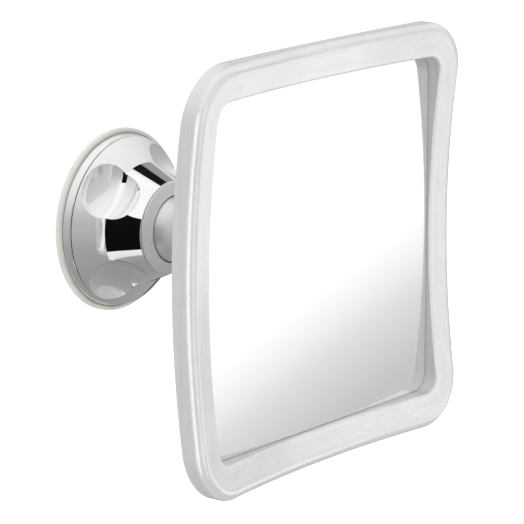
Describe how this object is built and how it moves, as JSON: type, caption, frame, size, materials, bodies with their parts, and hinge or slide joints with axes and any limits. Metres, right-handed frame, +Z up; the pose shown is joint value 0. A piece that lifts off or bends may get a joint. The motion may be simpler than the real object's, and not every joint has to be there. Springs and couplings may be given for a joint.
{
  "type": "fogless shower mirror",
  "caption": "Square fogless shower mirror with a curved pearly frame, on a ball-jointed arm and a twist-lock suction mount for a smooth wall.",
  "frame": {"origin": "centre of the suction cup's face, on the wall plane", "axes": "+Y into the wall, square to the suction face; +Z up the wall; +X to the right as the user faces the mirror"},
  "size_m": [0.16, 0.108, 0.16],
  "materials": {
    "cup_rubber": "soft, slightly translucent",
    "bright_chrome": "mirror polished",
    "satin_silver": "fine satin",
    "screw_steel": "plain machined",
    "acetal_grey": "moulded",
    "nylon_white": "moulded",
    "seal_rubber": "matte",
    "pearl_plastic": "glossy, pearly, slightly translucent",
    "pad_foam": "closed-cell foam",
    "silvered_plate": "mirror",
    "clear_film": "clear anti-fog coat"
  },
  "bodies": {
    "base": {"suction_cup": "cup_rubber", "pressure_ring": "bright_chrome", "guide_hub": "acetal_grey", "slip_washer": "nylon_white", "neck_o_ring": "seal_rubber"},
    "dome": {"lock_dome": "bright_chrome", "cam_ring": "acetal_grey", "dome_screws": "screw_steel"},
    "stud": {"pull_stud": "screw_steel", "cross_pin": "screw_steel"},
    "collar": {"collar_nut": "satin_silver"},
    "seat": {"ball_seat": "nylon_white"},
    "arm": {"pivot_ball": "satin_silver", "arm_screw": "screw_steel", "swing_arm": "satin_silver", "swivel_screw": "screw_steel", "swivel_washer": "screw_steel"},
    "head": {"front_frame": "pearl_plastic", "rear_cover": "pearl_plastic", "cover_seal": "seal_rubber", "foam_pads": "pad_foam", "mirror_plate": "silvered_plate", "anti_fog_film": "clear_film", "swivel_hub": "satin_silver", "hub_screws": "screw_steel", "friction_washer": "nylon_white"}
  },
  "joints": [
    {"name": "dome_twist", "type": "hinge", "parent": "base", "child": "dome", "pos_m": [0, -0.01, 0], "axis": [0, 1, 0], "range_deg": [0, 90]},
    {"name": "stud_pull", "type": "slide", "parent": "base", "child": "stud", "axis": [0, -1, 0], "range_m": [0, 0.002], "deforming": ["suction_cup"]},
    {"name": "collar_turn", "type": "hinge", "parent": "base", "child": "collar", "pos_m": [0, -0.027, 0], "axis": [0, 1, 0], "range_deg": [-90, 0]},
    {"name": "ball_pan", "type": "hinge", "parent": "base", "child": "seat", "pos_m": [0, -0.02575, 0], "axis": [0, 0, 1], "range_deg": [-25, 25]},
    {"name": "ball_tilt", "type": "hinge", "parent": "seat", "child": "arm", "pos_m": [0, -0.02575, 0], "axis": [1, 0, 0], "range_deg": [-25, 25]},
    {"name": "mirror_spin", "type": "hinge", "parent": "arm", "child": "head", "pos_m": [0, -0.09, 0], "axis": [0, 1, 0], "continuous": true}
  ],
  "couplings": [
    {"joint": "stud_pull", "follows": "dome_twist", "m_per_rad": 0.001273}
  ]
}
